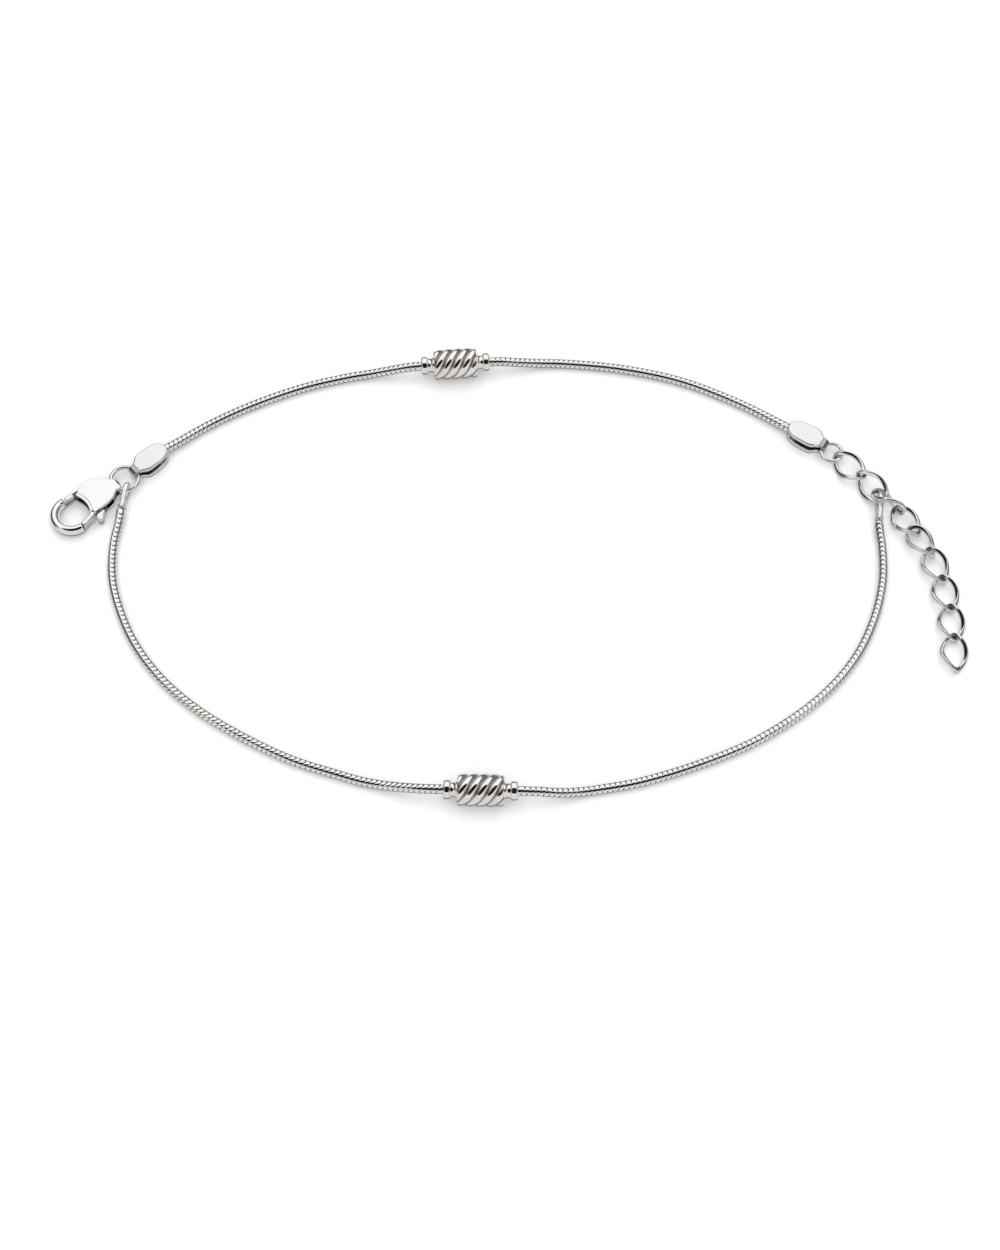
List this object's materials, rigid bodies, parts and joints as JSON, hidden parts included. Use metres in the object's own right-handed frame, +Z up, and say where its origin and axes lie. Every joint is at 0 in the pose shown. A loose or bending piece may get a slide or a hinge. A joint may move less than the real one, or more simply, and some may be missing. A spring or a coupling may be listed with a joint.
{
  "type": "two-strand snake chain bracelet with lobster clasp",
  "caption": "Open bracelet of two snake chain strands with twisted barrel beads, a sprung lobster clasp and an extender of curb links, lying flat.",
  "frame": {"origin": "middle of the outline seen from above, on the surface the bracelet lies on", "axes": "+X from the clasp towards the extender, +Y towards the rear strand, +Z up"},
  "size_m": [0.1292, 0.074, 0.0045],
  "materials": {
    "polished_silver": "polished sterling silver",
    "chain_silver": "polished snake chain, darker between its rings",
    "wire_silver": "polished drawn wire"
  },
  "bodies": {
    "bracelet": {"clasp_body": "polished_silver", "left_jump_ring": "wire_silver", "left_tag": "polished_silver", "rear_chain_left": "chain_silver", "rear_bead": "polished_silver", "rear_chain_right": "chain_silver", "right_tag": "polished_silver", "front_left_end_loop": "wire_silver", "front_chain_left": "chain_silver", "front_bead": "polished_silver", "front_chain_right": "chain_silver", "front_right_end_loop": "wire_silver", "right_jump_ring": "wire_silver", "extender_link_1": "wire_silver", "extender_link_2": "wire_silver", "extender_link_3": "wire_silver", "extender_link_4": "wire_silver", "extender_link_5": "wire_silver", "extender_link_6": "wire_silver", "extender_link_7": "wire_silver", "extender_link_8": "wire_silver", "extender_link_9": "wire_silver"},
    "lever": {"clasp_lever": "polished_silver"}
  },
  "joints": [
    {"name": "clasp_lever_hinge", "type": "hinge", "parent": "bracelet", "child": "lever", "pos_m": [-0.05824, 0.01269, 0.00115], "axis": [0, 0, 1], "range_deg": [0, 20], "stiffness_Nm_per_rad": 0.0005, "springref_deg": -5.73}
  ]
}
